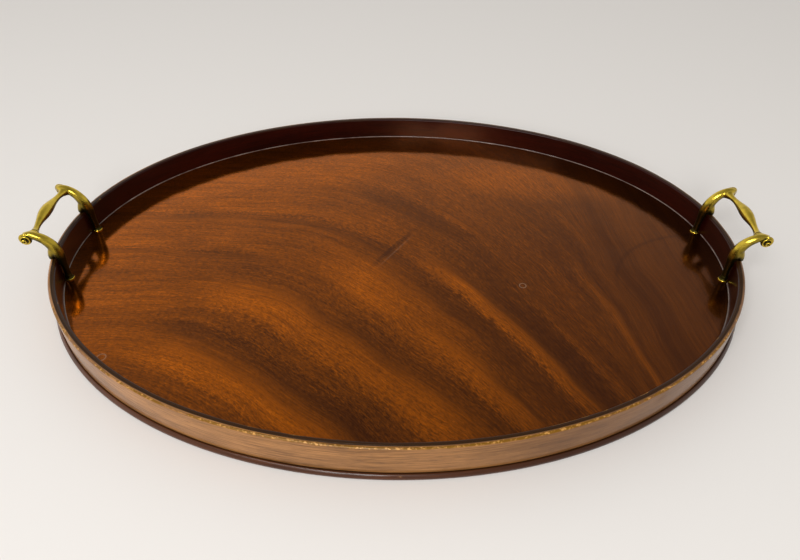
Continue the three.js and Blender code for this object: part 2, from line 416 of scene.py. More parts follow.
# The figure of the floor veneer, in metres. A tongue is a streak that runs with the grain: its
# level across the grain, half its width, where it starts and ends along X, and how much lighter
# or darker it is.
TONGUES = [
    (-0.122, 0.011, -0.20, -0.03, 0.28),
    (-0.052, 0.014, -0.17, 0.06, 0.26),
    (0.016, 0.020, -0.06, 0.06, 0.26),
    (-0.002, 0.010, 0.03, 0.11, 0.28),
    (0.068, 0.008, 0.03, 0.15, 0.34),
    (0.119, 0.005, 0.12, 0.16, 0.14),
    (0.137, 0.004, 0.03, 0.09, 0.12),
    (0.153, 0.007, 0.16, 0.19, 0.12),
    (0.208, 0.013, 0.17, 0.21, 0.26),
    (-0.092, 0.008, -0.20, 0.00, -0.18),
    (-0.024, 0.006, -0.17, 0.09, -0.05),
    (0.044, 0.010, 0.03, 0.14, -0.10),
    (0.060, 0.006, -0.30, 0.00, -0.15),
    (0.002, 0.003, -0.30, -0.12, -0.10),
    (0.095, 0.014, 0.09, 0.18, -0.16),
    (0.123, 0.012, -0.05, 0.06, -0.12),
    (0.400, 0.060, 0.19, 0.26, -0.11),
]
# Where the grain turns down from its level run on the left: the place along X, how much farther
# right that is for each metre up, how steeply it then falls, and over what distance it turns.
GRAIN_TURNS = [(-0.10, 0.5, 0.62, 0.08), (0.08, 0.0, 0.69, 0.06), (0.19, 0.0, 5.0, 0.17)]
# The height that a tongue's profile is rounded off at, of a peak of 1.
TONGUE_CREST = 0.6
# The veneer's colour, from its darkest figure to its lightest.
FIGURE_COLOURS = [(0.0, (0.070, 0.017, 0.003)), (0.25, (0.130, 0.034, 0.004)),
                  (0.5, (0.250, 0.062, 0.004)), (0.75, (0.430, 0.103, 0.004)),
                  (1.0, (0.660, 0.160, 0.005))]
# A pale patch and a dark curl in the figure, then the scuff, the hairline scratch and the ring
# marks in the polish. All are in metres, with tilts in radians, and a ring mark is x, y, radius.
BLUSH = {"centre": (0.140, 0.122), "half": (0.100, 0.034), "tilt": -0.14, "strength": 0.17}
CURL = {"centre": (0.290, -0.060), "radius": 0.092, "half_width": 0.003, "strength": -0.12}
SCUFF = {"centre": (-0.004, 0.009), "half": (0.038, 0.0032), "tilt": 0.95, "strength": -0.20}
HAIRLINE = {"centre": (-0.002, 0.004), "half": (0.030, 0.0006), "tilt": 0.97, "strength": 0.4}
RING_MARKS = [(0.110, -0.045, 0.0029), (-0.232, -0.130, 0.0034)]
RING_HALF_WIDTH = 0.0008


def with_pores(tree, colour, pores, kept):
    """The colour with open pores in it, where only the share kept of its lightness is left."""
    mask = remapped(tree, pores, 0.30, 0.42, kept, 1.0)
    return mixed(tree, 1.0, colour, joined(tree, mask, mask, mask), "MULTIPLY")


def soft_oval(tree, x, y, spot):
    """1 in the middle of a tilted oval and 0 outside it, with a soft edge."""
    cos, sin = math.cos(spot["tilt"]), math.sin(spot["tilt"])
    u = math_node(tree, "SUBTRACT", x, spot["centre"][0])
    v = math_node(tree, "SUBTRACT", y, spot["centre"][1])
    along = math_node(tree, "ADD", math_node(tree, "MULTIPLY", u, cos / spot["half"][0]),
                      math_node(tree, "MULTIPLY", v, sin / spot["half"][0]))
    aside = math_node(tree, "SUBTRACT", math_node(tree, "MULTIPLY", v, cos / spot["half"][1]),
                      math_node(tree, "MULTIPLY", u, sin / spot["half"][1]))
    reach = add(tree, "VectorMath", {0: joined(tree, along, aside)}, operation="LENGTH")
    return remapped(tree, reach.outputs["Value"], 0.45, 1.15, 1.0, 0.0)


def line_at(tree, value, place, half_width):
    """1 where value is at place, and 0 beyond half_width on either side."""
    off = math_node(tree, "ABSOLUTE", math_node(tree, "SUBTRACT", value, place))
    return remapped(tree, off, 0.0, half_width, 1.0, 0.0)


def distance_to(tree, x, y, centre):
    u = math_node(tree, "SUBTRACT", x, centre[0])
    v = math_node(tree, "SUBTRACT", y, centre[1])
    return add(tree, "VectorMath", {0: joined(tree, u, v)}, operation="LENGTH").outputs["Value"]


def bent_grain(tree, place):
    """The place, swayed a little, as x and y, and its level across the grain. The grain runs level
    from the left, then turns down to the right."""
    sway = add(tree, "TexNoise", {"Vector": place, "Scale": 8.0, "Detail": 2.0}).outputs["Color"]
    offset = add(tree, "VectorMath", {0: sway, 1: (0.5, 0.5, 0.5)}, operation="SUBTRACT").outputs[0]
    swayed = add(tree, "VectorMath", {0: offset, 1: (0.022, 0.022, 0.0), 2: place},
                 operation="MULTIPLY_ADD").outputs[0]
    x, y, _ = split(tree, swayed)
    level = y
    for start, lean, slope, rounding in GRAIN_TURNS:
        passed = math_node(tree, "SUBTRACT", x, math_node(tree, "MULTIPLY_ADD", y, lean, start))
        fall = math_node(tree, "MULTIPLY", passed, slope)
        level = math_node(tree, "ADD", level, math_node(tree, "SMOOTH_MAX", fall, 0.0, rounding))
    return x, y, level


def with_tongues(tree, light, x, level):
    """The figure's lightness with every tongue laid on it."""
    for middle, half_width, start, end, strength in TONGUES:
        core = math_node(tree, "SMOOTH_MIN", line_at(tree, level, middle, half_width * 1.5),
                         TONGUE_CREST, 0.2)
        begins = remapped(tree, x, start - 0.02, start + 0.03, 0.0, 1.0)
        ends = remapped(tree, x, end - 0.03, end + 0.02, 1.0, 0.0)
        mask = math_node(tree, "MULTIPLY", math_node(tree, "MULTIPLY", core, begins), ends)
        light = math_node(tree, "MULTIPLY_ADD", mask, strength / TONGUE_CREST, light)
    return light


def polish_marks(tree, x, y):
    """1 on the ring marks, and less on the hairline scratch."""
    hairline = soft_oval(tree, x, y, HAIRLINE)
    marks = math_node(tree, "MULTIPLY", hairline, HAIRLINE["strength"])
    for centre_x, centre_y, radius in RING_MARKS:
        reach = distance_to(tree, x, y, (centre_x, centre_y))
        marks = math_node(tree, "MAXIMUM", marks, line_at(tree, reach, radius, RING_HALF_WIDTH))
    return marks


def figured_mahogany():
    """Flame-figured veneer under French polish, with its figure in streaks along the grain."""
    material, tree = new_material("figured_mahogany")
    place = object_place(tree)
    plain_x, plain_y, _ = split(tree, place)
    x, y, level = bent_grain(tree, place)

    # Cloudy change along the grain, flecks, fine streaks, ribs and open pores.
    grain = joined(tree, level, x)
    cloud = noise_value(tree, mapped(tree, grain, (20, 8, 1)), 1.0, 3.0, 0.6)
    fleck = noise_value(tree, mapped(tree, grain, (700, 260, 1)), 1.0, 3.0, 0.7, 0.8)
    streak = noise_value(tree, mapped(tree, grain, (900, 26, 1)), 1.0, 3.0, 0.6, 0.3)
    rib = noise_value(tree, mapped(tree, grain, (170, 10, 1)), 1.0, 2.0, 0.5, 0.3)
    pores = noise_value(tree, mapped(tree, grain, (2200, 230, 1)), 1.0, 1.0, 0.5)

    # The figure: a slow change across the floor, darker towards the right, with a painted reflection
    # that lightens the far side, then ragged tongues, ribs, patches and grain.
    light = math_node(tree, "ADD", remapped(tree, plain_x, -0.28, 0.30, 0.54, 0.11),
                      remapped(tree, plain_y, 0.00, 0.20, 0.0, 0.16))
    ragged = math_node(tree, "ADD", level, remapped(tree, fleck, 0.25, 0.75, -0.006, 0.006))
    light = with_tongues(tree, light, x, ragged)
    rib_depth = remapped(tree, plain_x, -0.12, 0.05, 0.075, 0.02)
    ribs = math_node(tree, "MULTIPLY", remapped(tree, rib, 0.3, 0.7, -1.0, 1.0), rib_depth)
    light = math_node(tree, "ADD", light, ribs)
    blush = soft_oval(tree, x, y, BLUSH)
    light = math_node(tree, "MULTIPLY_ADD", blush, BLUSH["strength"], light)
    curl = line_at(tree, distance_to(tree, x, y, CURL["centre"]), CURL["radius"],
                   CURL["half_width"])
    curl = math_node(tree, "MULTIPLY", curl, remapped(tree, plain_y, -0.06, -0.02, 0.0, 1.0))
    light = math_node(tree, "MULTIPLY_ADD", curl, CURL["strength"], light)
    scuff = soft_oval(tree, plain_x, plain_y, SCUFF)
    light = math_node(tree, "MULTIPLY_ADD", scuff, SCUFF["strength"], light)
    for value, depth in ((cloud, 0.10), (fleck, 0.19), (streak, 0.12)):
        light = math_node(tree, "ADD", light, remapped(tree, value, 0.3, 0.7, -depth, depth))
    colour = with_pores(tree, ramp(tree, light, FIGURE_COLOURS), pores, 0.68)
    marks = polish_marks(tree, plain_x, plain_y)
    colour = mixed(tree, math_node(tree, "MULTIPLY", marks, 0.35), colour, (0.50, 0.36, 0.26))

    # The polish lies in gentle dips, and is duller where it is scuffed and marked.
    dip = noise_value(tree, place, 16.0, 2.0)
    wipe = noise_value(tree, place, 60.0, 3.0)
    normal = bumped(tree, dip, 0.0006)
    coat_normal = bumped(tree, wipe, 0.00004, 1.0, normal)
    wood_normal = bumped(tree, pores, 0.00003, 0.5, normal)
    worn = math_node(tree, "MAXIMUM", scuff, marks)
    surface(tree, {"Base Color": colour, "Metallic": 0.93, "Specular IOR Level": 0.3,
                   "Specular Tint": (1.0, 0.84, 0.70, 1),
                   "Roughness": remapped(tree, worn, 0.0, 1.0, 0.10, 0.30),
                   "Normal": wood_normal, "Coat Weight": 0.11, "Coat Roughness": 0.05,
                   "Coat IOR": 1.5, "Coat Normal": coat_normal})
    return material


# Near-black colour that paints shade on the strips: the shadow in the quirk over the moulding and
# the dark top of the rim.
PAINTED_SHADE_COLOUR = (0.034, 0.013, 0.003)


def strip_grain(tree):
    """Coordinates for straight grain along a bent strip: the place in plan, and the distance
    across its section."""
    x, y, _ = split(tree, object_place(tree))
    across = add(tree, "Attribute", attribute_name="across").outputs["Fac"]
    return joined(tree, x, y, across)


def strip_wood(name, dark, light, worn, roughness, coat, metallic=0.0, darkened=0.0):
    """Straight-grained wood on a bent strip. Where its value of wear and shade is high the polish is
    worn through, and where that is below zero the colour is painted near black as shade. darkened is
    how much of its lightness the strip loses towards the right."""
    material, tree = new_material(name)
    grain = strip_grain(tree)
    streak = noise_value(tree, mapped(tree, grain, (34, 34, 1300)), 1.0, 4.0, 0.65)
    cloud = noise_value(tree, mapped(tree, grain, (11, 11, 60)), 1.0, 2.0, 0.5)
    pores = noise_value(tree, mapped(tree, grain, (120, 120, 3600)), 1.0, 1.0, 0.5)
    lightness = math_node(tree, "ADD", remapped(tree, streak, 0.3, 0.7, 0.0, 0.6),
                        remapped(tree, cloud, 0.3, 0.7, 0.0, 0.4))
    x, _, _ = split(tree, grain)
    kept = remapped(tree, x, -0.04, 0.11, 1.0, 1.0 - darkened)
    colour = ramp(tree, math_node(tree, "MULTIPLY", lightness, kept), [(0.0, dark), (1.0, light)])
    colour = with_pores(tree, colour, pores, 0.6)

    wear_and_shade = add(tree, "Attribute", attribute_name="wear_and_shade").outputs["Fac"]
    patch = noise_value(tree, grain, 150.0, 3.0, 0.6)
    bare = remapped(tree, math_node(tree, "ADD", wear_and_shade, remapped(tree, patch, 0.3, 0.7, -0.3, 0.3)),
                    0.45, 0.6)
    # Painted shade: below zero the colour goes towards near black, in the quirk and on the rim's
    # top.
    painted_shade = remapped(tree, wear_and_shade, -0.6, 0.0, 1.0, 0.0)
    paler = remapped(tree, noise_value(tree, grain, 420.0, 2.0), 0.5, 0.68)
    bare_wood = mixed(tree, paler, worn, tuple(min(1.0, 2.6 * part + 0.06) for part in worn))
    colour = mixed(tree, bare, colour, bare_wood)
    colour = mixed(tree, painted_shade, colour, PAINTED_SHADE_COLOUR)
    dull = math_node(tree, "MAXIMUM", math_node(tree, "MULTIPLY", bare, 0.5),
                     math_node(tree, "MULTIPLY", painted_shade, 0.9))
    surface(tree, {"Base Color": colour, "Metallic": metallic,
                   "Roughness": remapped(tree, bare, 0.0, 1.0, roughness, 0.40),
                   "Normal": bumped(tree, pores, 0.00008, 0.5),
                   "Coat Weight": remapped(tree, dull, 0.0, 1.0, coat, 0.0),
                   "Coat Roughness": 0.16, "Coat IOR": 1.35, "Specular IOR Level": 0.15})
    return material


def old_polish():
    """Polish built up in the corner round the floor, coloured in pale patches on dark brown that
    show as a light line.
    """
    material, tree = new_material("old_polish")
    patch = noise_value(tree, object_place(tree), 55.0, 3.0, 0.6)
    colour = ramp(tree, patch, [(0.35, (0.050, 0.022, 0.016)), (0.64, (0.170, 0.120, 0.100))])
    surface(tree, {"Base Color": colour, "Roughness": 0.35, "Coat Weight": 0.6,
                   "Coat Roughness": 0.10})
    return material


def plain_mahogany(dark, light):
    """Straight-grained wood for the flat board and the underside, with the grain along X."""
    material, tree = new_material("plain_mahogany")
    place = object_place(tree)
    streak = noise_value(tree, mapped(tree, place, (5, 420, 420)), 1.0, 4.0, 0.6, 0.2)
    cloud = noise_value(tree, mapped(tree, place, (3, 26, 26)), 1.0, 3.0, 0.5, 0.6)
    pores = noise_value(tree, mapped(tree, place, (90, 2200, 2200)), 1.0, 1.0)
    lightness = math_node(tree, "ADD", remapped(tree, streak, 0.3, 0.7, 0.0, 0.5),
                        remapped(tree, cloud, 0.3, 0.7, 0.0, 0.5))
    colour = with_pores(tree, ramp(tree, lightness, [(0.0, dark), (1.0, light)]), pores, 0.5)
    surface(tree, {"Base Color": colour, "Roughness": 0.42,
                   "Normal": bumped(tree, pores, 0.0001, 0.6)})
    return material


def aged_brass(name, bright, dull, roughness):
    """Cast brass, rubbed bright where hands reach, and dark with tarnish in its hollows. It is
    darker underneath, partly tarnish and partly painted shade, and darker down its legs. The rubbed
    attribute marks edges that stay bright."""
    material, tree = new_material(name)
    coords = add(tree, "TexCoord").outputs
    place = coords["Object"]
    _, _, height = split(tree, place)
    _, _, facing = split(tree, coords["Normal"])
    hollow = add(tree, "AmbientOcclusion", {"Distance": 0.0022}, samples=8).outputs["AO"]
    cloud = noise_value(tree, place, 160.0, 3.0, 0.6)
    speck = noise_value(tree, place, 1100.0, 2.0, 0.7)
    tarnish_and_shade = remapped(tree, hollow, 0.45, 0.85, 1.0, 0.0)
    # Darker where the surface faces down, partly tarnish and partly painted shade; darker on the
    # legs below the rim's top; then patches and specks of tarnish.
    for mask in (remapped(tree, facing, -0.45, 0.40, 1.0, 0.0),
                 remapped(tree, height, 0.029, 0.039, 1.0, 0.0),
                 remapped(tree, cloud, 0.42, 0.72, 0.0, 0.35),
                 remapped(tree, speck, 0.62, 0.72, 0.0, 0.3)):
        tarnish_and_shade = math_node(tree, "ADD", tarnish_and_shade, mask)
    rubbed = add(tree, "Attribute", attribute_name="rubbed").outputs["Fac"]
    tarnish_and_shade = math_node(tree, "SUBTRACT", math_node(tree, "MINIMUM", tarnish_and_shade, 1.0), rubbed)
    tarnish_and_shade = remapped(tree, tarnish_and_shade, 0.0, 1.0)
    colour = mixed(tree, tarnish_and_shade, bright, dull)
    pits = remapped(tree, speck, 0.66, 0.74, 1.0, 0.0)
    dents = bumped(tree, noise_value(tree, place, 260.0, 2.0), 0.0001, 0.3)
    surface(tree, {"Base Color": colour, "Metallic": 1.0,
                   "Roughness": remapped(tree, tarnish_and_shade, 0.0, 1.0, roughness, roughness + 0.2),
                   "Normal": bumped(tree, pits, 0.00006, 0.5, dents)})
    return material


FIGURED = figured_mahogany()
PLAIN = plain_mahogany(dark=(0.050, 0.018, 0.009), light=(0.150, 0.060, 0.026))
OUTER_WOOD = strip_wood("outer_strip_mahogany", dark=(0.062, 0.020, 0.002),
                        light=(0.520, 0.240, 0.078), worn=(0.190, 0.082, 0.004),
                        roughness=0.42, coat=0.60, metallic=0.1, darkened=0.55)
INNER_WOOD = strip_wood("inner_strip_mahogany", dark=(0.005, 0.0004, 0.0003),
                        light=(0.034, 0.0030, 0.001), worn=(0.190, 0.082, 0.004),
                        roughness=0.30, coat=0.30, metallic=0.2)
BEAD_WOOD = strip_wood("bead_mahogany", dark=(0.030, 0.008, 0.002),
                       light=(0.120, 0.036, 0.010), worn=(0.200, 0.095, 0.035),
                       roughness=0.30, coat=0.60, darkened=0.85)
OLD_POLISH = old_polish()
BRASS = aged_brass("aged_brass", bright=(0.560, 0.400, 0.044), dull=(0.040, 0.032, 0.007),
                   roughness=0.18)
SCREW_BRASS = aged_brass("screw_brass", bright=(0.420, 0.310, 0.110),
                         dull=(0.140, 0.100, 0.040), roughness=0.38)


# ---------------------------------------------------------------- floor, rim and bead

for node_name, material in (("floor_veneer", FIGURED), ("core_panel", PLAIN),
                            ("back_veneer", PLAIN)):
    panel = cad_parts[node_name]
    panel.data.materials.clear()
    panel.data.materials.append(material)


def worn_ply(is_outer):
    """The section of one strip of the rim. The corner on its exposed side is rounded, and dented
    and rubbed away where the polish has gone. Its top, and the outer strip's face just above the
    moulding, are painted dark as shade."""
    exposed, glued = (0.0, -PLY) if is_outer else (-GALLERY, -PLY - GLUE_LINE)
    inward = math.copysign(1.0, glued - exposed)
    chip_seed = 4.0 if is_outer else 3.0
    # The outer strip's face just above the moulding is marked below zero: painted shadow in the
    # quirk.
    painted_quirk_shadow = -1.0 if is_outer else 0.0

    def section_at(angle):
        at_front = max(0.0, -math.sin(angle))
        rubbed = 0.5 + 0.5 * ripple(angle, 26, 1.0) + 0.9 * ripple(angle, 90, 2.0)
        chipped = max(0.0, ripple(angle, 170, chip_seed) - 0.30 + 0.10 * at_front)
        loss = 0.10 * max(0.0, rubbed) + 0.8 * chipped
        bare = 0.4 * ripple(angle, 26, 1.0) + 0.4 * ripple(angle, 60, 4.0) + 1.6 * chipped
        bare += (0.36 + 0.40 * at_front) if is_outer else (0.05 + 0.15 * at_front)
        section = [(exposed, 0.3, 0.0), (exposed, BEAD_HEIGHT - 0.1, painted_quirk_shadow),
                   (exposed, BEAD_HEIGHT + 0.6, 0.0)]
        for i in range(ROUND_STEPS + 1):
            turn = 0.5 * math.pi * i / ROUND_STEPS
            bite = loss * math.sin(2 * turn) ** 2
            outward = exposed + inward * (RIM_ROUNDING * (1 - math.cos(turn)) + bite)
            z = RIM_HEIGHT - RIM_ROUNDING * (1 - math.sin(turn)) - bite
            over_top = turn / (0.5 * math.pi)
            # Towards its top each strip is marked below zero, painted shade on the rim's top:
            # slightly on the outer strip, fully on the inner one.
            if is_outer:
                wear_and_shade = bare * min(1.0, 2.2 * over_top) - 0.15 * over_top ** 3
            else:
                wear_and_shade = bare * math.sin(2 * turn) - 4 * max(0.0, over_top - 0.75)
            section.append((outward, z, wear_and_shade))
        # The top out to the glue line is marked below zero too, painted shade on the rim's top.
        section += [(glued - inward * 0.12, RIM_HEIGHT - 0.01, -1.0),
                    (glued, RIM_HEIGHT - 0.15, -1.0), (glued, 0.0, 0.0),
                    (exposed + inward * 0.3, 0.0, 0.0)]
        return section if is_outer else section[::-1]

    return section_at


def bead_section(angle):
    """A small moulding with a bevelled top, rubbed flatter where it has been knocked. Its quirk
    against the strip is painted dark as shadow.
    """
    knocked = 0.35 * max(0.0, ripple(angle, 130, 5.0) - 0.20)
    section = []
    for outward, z in BEAD_PROFILE:
        is_prominent = outward > 2.3 and z > 1.5
        dent = knocked if is_prominent else 0.0
        section.append((outward - dent, z, 0.1 + 2.2 * dent))
    # The quirk point is marked below zero: painted shadow where the moulding meets the strip.
    section[-1] = (*BEAD_PROFILE[-1], -1.0)
    return section[::-1]


def two_lengths(name, section_at, joint_degrees, material, slot):
    """A strip right round the oval, in a rear and a front length."""
    half_gap = math.degrees(JOINT_HALF_GAP)
    for end, start in (("rear", joint_degrees), ("front", joint_degrees + 180.0)):
        node_name = f"{name}_{end}"
        strip = oval_strip(node_name + "_polished", section_at, start + half_gap,
                           start + 180.0 - half_gap)
        face_outward(strip)
        finished(strip, material, slot, node_name)


two_lengths("gallery_outer_ply", worn_ply(True), PLY_JOINT_ANGLES["outer"], OUTER_WOOD,
            "gallery_wood")
two_lengths("gallery_inner_ply", worn_ply(False), PLY_JOINT_ANGLES["inner"], INNER_WOOD,
            "gallery_wood")
two_lengths("base_bead", bead_section, BEAD_JOINT_ANGLE, BEAD_WOOD, "bead_wood")


def fillet_section(angle):
    """A thin hollow fillet of old polish between the floor and the wall, uneven in width."""
    size = FILLET * (1 + 0.25 * ripple(angle, 70, 9.0))
    wall, low = -GALLERY - 0.03, FLOOR_Z + 0.02
    section = [(wall, low, 0.0)]
    for i in range(FILLET_STEPS + 1):
        turn = 0.5 * math.pi * i / FILLET_STEPS
        section.append((wall - size * (1 - math.sin(turn)), low + size * (1 - math.cos(turn)), 0.0))
    return section


for name, middle in (("rear", 90.0), ("left", 180.0), ("front", 270.0), ("right", 360.0)):
    reach = 90.0 - FOOT_ENDS[1] if name in ("rear", "front") else FOOT_ENDS[0]
    fillet = oval_strip(f"floor_edge_fillet_{name}", fillet_section, middle - reach, middle + reach)
    face_outward(fillet)
    finished(fillet, OLD_POLISH, "gallery_wood")


# ---------------------------------------------------------------- handles

# Every measure is for the right rear arm, and angles are in radians. A station is x, y, z, then the
# half sizes of the section in the arm's upright plane and across it.
ARM_STATIONS = [
    (292.0, 35.9, 9.0, 3.0, 3.0),
    (292.0, 35.7, 14.0, 2.8, 2.9),
    (292.0, 35.4, 19.0, 2.8, 2.9),
    (292.1, 35.1, 25.0, 3.0, 3.0),
    (292.6, 34.7, 33.0, 4.2, 3.7),
    (294.2, 34.5, 39.5, 5.3, 4.2),
    (296.0, 34.5, 45.6, 4.9, 4.2),
    (299.6, 34.8, 51.2, 4.3, 4.0),
    (304.6, 35.2, 55.2, 3.8, 3.7),
    (309.2, 35.6, 57.2, 3.3, 3.1),
    (313.0, 36.3, 57.2, 2.8, 2.5),
    (315.4, 36.8, 55.6, 2.0, 1.9),
]
LIP_STATIONS = [
    (295.4, 34.5, 43.0, 4.6, 4.0),
    (297.4, 34.5, 38.6, 4.3, 3.9),
    (299.2, 34.5, 34.6, 3.6, 3.6),
    (300.2, 34.5, 31.6, 2.5, 3.0),
]
SCROLL_X = 313.45
SCROLL_Z = 54.8
# The hood that the arm ends in widens towards its outer face, as [radius, y].
HOOD_PROFILE = [(0, 32.4), (1.4, 32.8), (2.6, 34.2), (3.5, 35.8), (4.5, 37.2), (5.4, 38.0),
                (5.35, 38.5), (4.9, 38.6), (3.4, 38.6), (1.8, 39.6), (0, 40.8)]
# Half turns of the ridge on that face, from over the top inward: reach from the axis, y, radius.
RIDGE_HALF_TURNS = [(4.6, 38.3, 0.8), (4.5, 38.8, 0.85), (3.4, 39.8, 0.8), (2.6, 40.6, 0.8),
                    (1.3, 41.9, 0.75), (0.3, 42.7, 0.85)]
# The grip's end, how far its middle bows out and up from there, and its [y, radius] profile.
GRIP_END = (308.4, 30.5, 55.8)
GRIP_BOW = (2.8, 1.0)
GRIP_END_RADIUS = 3.7
GRIP_PROFILE = [(0, 4.9), (4.5, 4.7), (9, 4.05), (13.5, 3.3), (18, 2.7), (22.5, 2.4),
                (26, 2.55), (28.5, 3.0), (GRIP_END[1], GRIP_END_RADIUS)]
# The web that spreads from the grip into the arm: y, then its half sizes along and across the arm.
WEB_STATIONS = [(30.4, 3.7, 3.65), (31.4, 4.4, 3.7), (32.4, 5.5, 3.7), (33.4, 6.9, 3.5),
                (34.4, 8.4, 3.0), (35.2, 9.2, 2.4)]
WEB_SHIFT = 0.15
ARM_SLOPE = math.radians(22)
# The spigot on the grip's end, and the socket that it stands in.
SPIGOT_RADIUS = 1.5
SPIGOT_LENGTH = 4.0
SOCKET_RADIUS = 1.7
SOCKET_END_Y = 35.1
ARM_FACE_Y = 30.55
# The foot on the floor, as [radius, z], and the screw that comes up into it through the floor.
FOOT_AT = (292.0, 35.9, 0)
FOOT_PROFILE = [(0, 10.0), (4.5, 10.0), (4.6, 10.9), (4.0, 11.5), (3.3, 12.7), (2.95, 14.6),
                (0, 15.5)]
SCREW_AT = (291.4, 35.8, 0)
SCREW_RADIUS = 1.5
SCREW_REACH_Z = 20.0
BORE_RADIUS = 1.7
WASHER_THICKNESS = 0.7
# The screw's head, as [radius, height above its bearing face], and half its slot's sizes.
HEAD_PROFILE = [(0, -1.6), (1.2, -1.58), (2.2, -1.35), (2.8, -0.85), (3.0, -0.25), (2.95, 0)]
SLOT_HALF_SIZES = (4, 0.4, 0.7)
# Clearances round what is cut to fit its neighbour: the rim's outside, its top and inside, the
# floor, and the end of the screw's bore.
RIM_OUTSIDE_GAP = 0.15
RIM_GAP = 0.12
FLOOR_GAP = 0.1
BORE_END_GAP = 0.3
# The size of the grid that the arm's castings are fused on.
VOXEL = 0.3


def web_shape():
    """An oval trumpet along Y, drawn out along the arm and leaning towards the rim."""
    verts = []
    stations = smooth_line(WEB_STATIONS, 20)
    for y, along, across in stations:
        spread = (y - WEB_STATIONS[0][0]) * WEB_SHIFT
        x = GRIP_END[0] - spread * math.cos(ARM_SLOPE)
        z = GRIP_END[2] - spread * math.sin(ARM_SLOPE)
        for j in range(ROUND_SIDES):
            turn = 2 * math.pi * j / ROUND_SIDES
            u, v = along * math.cos(turn), across * math.sin(turn)
            verts.append((x + u * math.cos(ARM_SLOPE) - v * math.sin(ARM_SLOPE), y,
                          z + u * math.sin(ARM_SLOPE) + v * math.cos(ARM_SLOPE)))
    return mesh_object("arm_web", verts, skin_faces(len(stations), ROUND_SIDES, False))


def ridge_line():
    """Stations of the spiral ridge on the scroll's face, four to each half turn."""
    points = []
    quarters = 4 * (len(RIDGE_HALF_TURNS) - 1)
    for i, (reach, y, radius) in enumerate(smooth_line(RIDGE_HALF_TURNS, quarters)):
        turn = math.radians(100) - 0.25 * math.pi * i
        points.append((SCROLL_X + reach * math.cos(turn), y, SCROLL_Z + reach * math.sin(turn),
                       radius, radius))
    return points


def scroll_polish(place, ridge):
    """1 on the crest of the scroll's ridge and -1 in its groove."""
    nearest = ridge[np.argmin(np.sum((ridge[:, :3] - place) ** 2, axis=1))]
    return 1.0 if place[1] > nearest[1] + 0.15 else -1.0


def mark_rubbed_edges(arm):
    """Marks what stays bright: the leg's back edges beside the wall, the foot's rim and the crest
    of the scroll. The scroll's groove is marked the other way."""
    ridge = np.array(smooth_line(ridge_line(), 300))
    values = []
    for vertex in arm.data.vertices:
        x, y, z = place = np.array(vertex.co) / MM
        share = math.hypot(x / HALF_LENGTH, y / HALF_WIDTH)
        slope = math.hypot(x / HALF_LENGTH ** 2, y / HALF_WIDTH ** 2) / share
        outward = (share - 1) / slope
        beside_wall = outward > -GALLERY - 0.9 and z < RIM_HEIGHT
        foot_rim = z < FLOOR_Z + 1.1
        on_scroll = y > 38.2 and math.hypot(x - SCROLL_X, z - SCROLL_Z) < 5.0
        if on_scroll:
            values.append(scroll_polish(place, ridge))
        else:
            values.append(1.0 if beside_wall or foot_rim else 0.0)
    layer = arm.data.attributes.new("rubbed", "FLOAT", "POINT")
    layer.data.foreach_set("value", values)


def arm_shape():
    """The leg, the lip over the rim, the hood with its scroll and the foot, run together and then
    cut to fit the rim, the floor, the screw and the grip."""
    parts = [
        swept_bar("arm_bar", ARM_STATIONS, 200, 40),
        swept_bar("arm_lip", LIP_STATIONS, 24, 40),
        turned("arm_hood", HOOD_PROFILE, (SCROLL_X, 0, SCROLL_Z), "y", 64),
        turned("arm_foot", FOOT_PROFILE, FOOT_AT, "z", 64),
        swept_bar("arm_ridge", ridge_line(), 150, 20),
        web_shape(),
    ]
    arm = fused("arm_shape", parts, VOXEL)

    def blending(place):
        """Full where the castings run together, and slight on the scroll's face and the foot."""
        x, y, z = place
        if z < 16:
            return 0.15
        if y > 37.4 and x > 307:
            return 0.1
        return 0.65

    soften(arm, blending, 18)
    outside, inside, top = RIM_OUTSIDE_GAP, -GALLERY - RIM_GAP, RIM_HEIGHT + RIM_GAP
    rim_section = [(outside, -1, 0), (outside, top, 0), (inside, top, 0), (inside, -1, 0)]
    grip_axis = (GRIP_END[0], 0, GRIP_END[2])
    cut(arm,
        oval_strip("rim_cutter", lambda angle: rim_section, -6, 24),
        cylinder("floor_cutter", 12, 0, FLOOR_Z + FLOOR_GAP, SCREW_AT, "z"),
        cylinder("screw_cutter", BORE_RADIUS, 0, SCREW_REACH_Z + BORE_END_GAP, SCREW_AT, "z", 32),
        cylinder("joint_cutter", 9, 20, ARM_FACE_Y, grip_axis, "y"),
        cylinder("socket_cutter", SOCKET_RADIUS, 30.0, SOCKET_END_Y, grip_axis, "y", 32))
    shade(arm.data, 32)
    mark_rubbed_edges(arm)
    return arm


def grip_shape():
    """A baluster along Y that bows out and up in the middle, with a spigot at each end."""
    end_x, end_y, end_z = GRIP_END
    half = smooth_line(GRIP_PROFILE, 56)
    half[-1] = (end_y, GRIP_END_RADIUS)
    half += [(end_y, SPIGOT_RADIUS), (end_y + SPIGOT_LENGTH, SPIGOT_RADIUS)]
    full = [(-y, radius) for y, radius in half[:0:-1]] + half
    verts = []
    for y, radius in full:
        bow = max(0.0, 1 - (y / end_y) ** 2)
        for j in range(ROUND_SIDES):
            turn = 2 * math.pi * j / ROUND_SIDES
            verts.append((end_x + GRIP_BOW[0] * bow + radius * math.cos(turn), y,
                          end_z + GRIP_BOW[1] * bow + radius * math.sin(turn)))
    grip = mesh_object("grip_shape", verts, skin_faces(len(full), ROUND_SIDES, False))
    face_outward(grip)
    return grip


